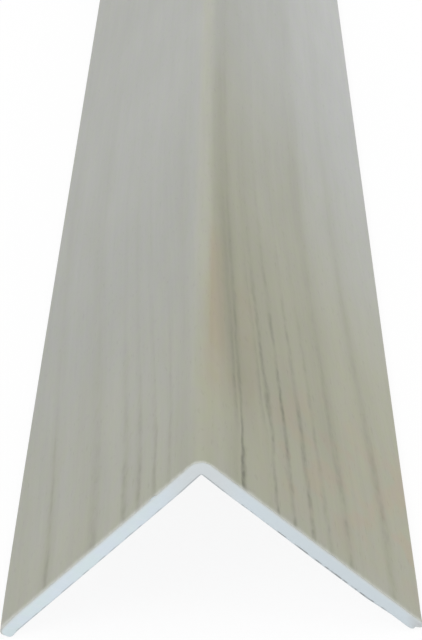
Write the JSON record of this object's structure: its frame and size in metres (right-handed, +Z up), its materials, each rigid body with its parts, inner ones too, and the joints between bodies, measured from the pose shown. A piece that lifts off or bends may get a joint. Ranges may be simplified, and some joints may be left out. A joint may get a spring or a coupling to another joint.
{
  "type": "corner guard moulding",
  "caption": "Right-angled plastic corner guard strip with equal legs, a rounded nose, and a pale wood-look film over its outer faces.",
  "frame": {"origin": "on the floor, under the nose, halfway along the strip", "axes": "X across the strip, Y along it, Z up through the nose; both legs' edges stand on the floor"},
  "size_m": [0.0418, 1, 0.0214],
  "materials": {
    "white_pvc": "extruded rigid PVC, white, satin; saw-cut ends matt",
    "wood_film": "printed and lightly embossed film, pale grey washed pine, satin"
  },
  "bodies": {
    "root": {"pvc_angle": "white_pvc", "decor_film": "wood_film"}
  },
  "joints": []
}
